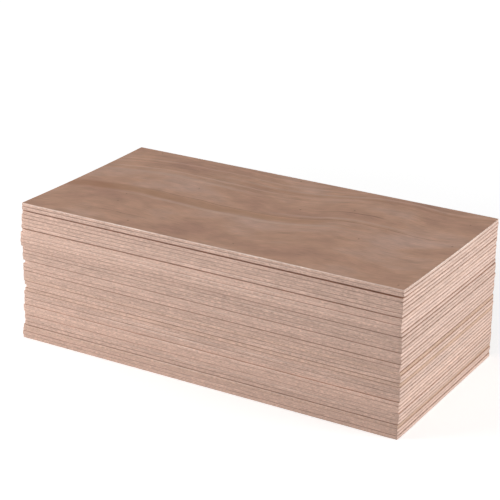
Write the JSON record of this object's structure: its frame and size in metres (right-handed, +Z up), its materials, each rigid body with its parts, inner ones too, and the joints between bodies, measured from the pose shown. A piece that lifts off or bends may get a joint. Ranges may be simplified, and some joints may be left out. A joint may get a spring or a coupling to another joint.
{
  "type": "stack of plywood sheets",
  "caption": "Free-standing pile of thin rectangular three-ply plywood sheets lying flat, slightly cupped and slipped in packets, stock material for craft and joinery.",
  "frame": {"origin": "middle of the underside of the lowest sheet, on the floor", "axes": "+X along the length of the sheets and their face grain, +Y across them to the back, +Z up"},
  "size_m": [0.6214, 0.3075, 0.2144],
  "materials": {
    "plywood": "sanded rotary-cut veneer, uncoated, with sawn edges"
  },
  "bodies": {
    "root": {"sheet_01": "plywood", "sheet_02": "plywood", "sheet_03": "plywood", "sheet_04": "plywood", "sheet_05": "plywood", "sheet_06": "plywood", "sheet_07": "plywood", "sheet_08": "plywood", "sheet_09": "plywood", "sheet_10": "plywood", "sheet_11": "plywood", "sheet_12": "plywood", "sheet_13": "plywood", "sheet_14": "plywood", "sheet_15": "plywood", "sheet_16": "plywood", "sheet_17": "plywood", "sheet_18": "plywood", "sheet_19": "plywood", "sheet_20": "plywood", "sheet_21": "plywood", "sheet_22": "plywood", "sheet_23": "plywood", "sheet_24": "plywood", "sheet_25": "plywood", "sheet_26": "plywood", "sheet_27": "plywood", "sheet_28": "plywood", "sheet_29": "plywood", "sheet_30": "plywood", "sheet_31": "plywood", "sheet_32": "plywood", "sheet_33": "plywood", "sheet_34": "plywood", "sheet_35": "plywood", "sheet_36": "plywood", "sheet_37": "plywood", "sheet_38": "plywood", "sheet_39": "plywood"}
  },
  "joints": []
}
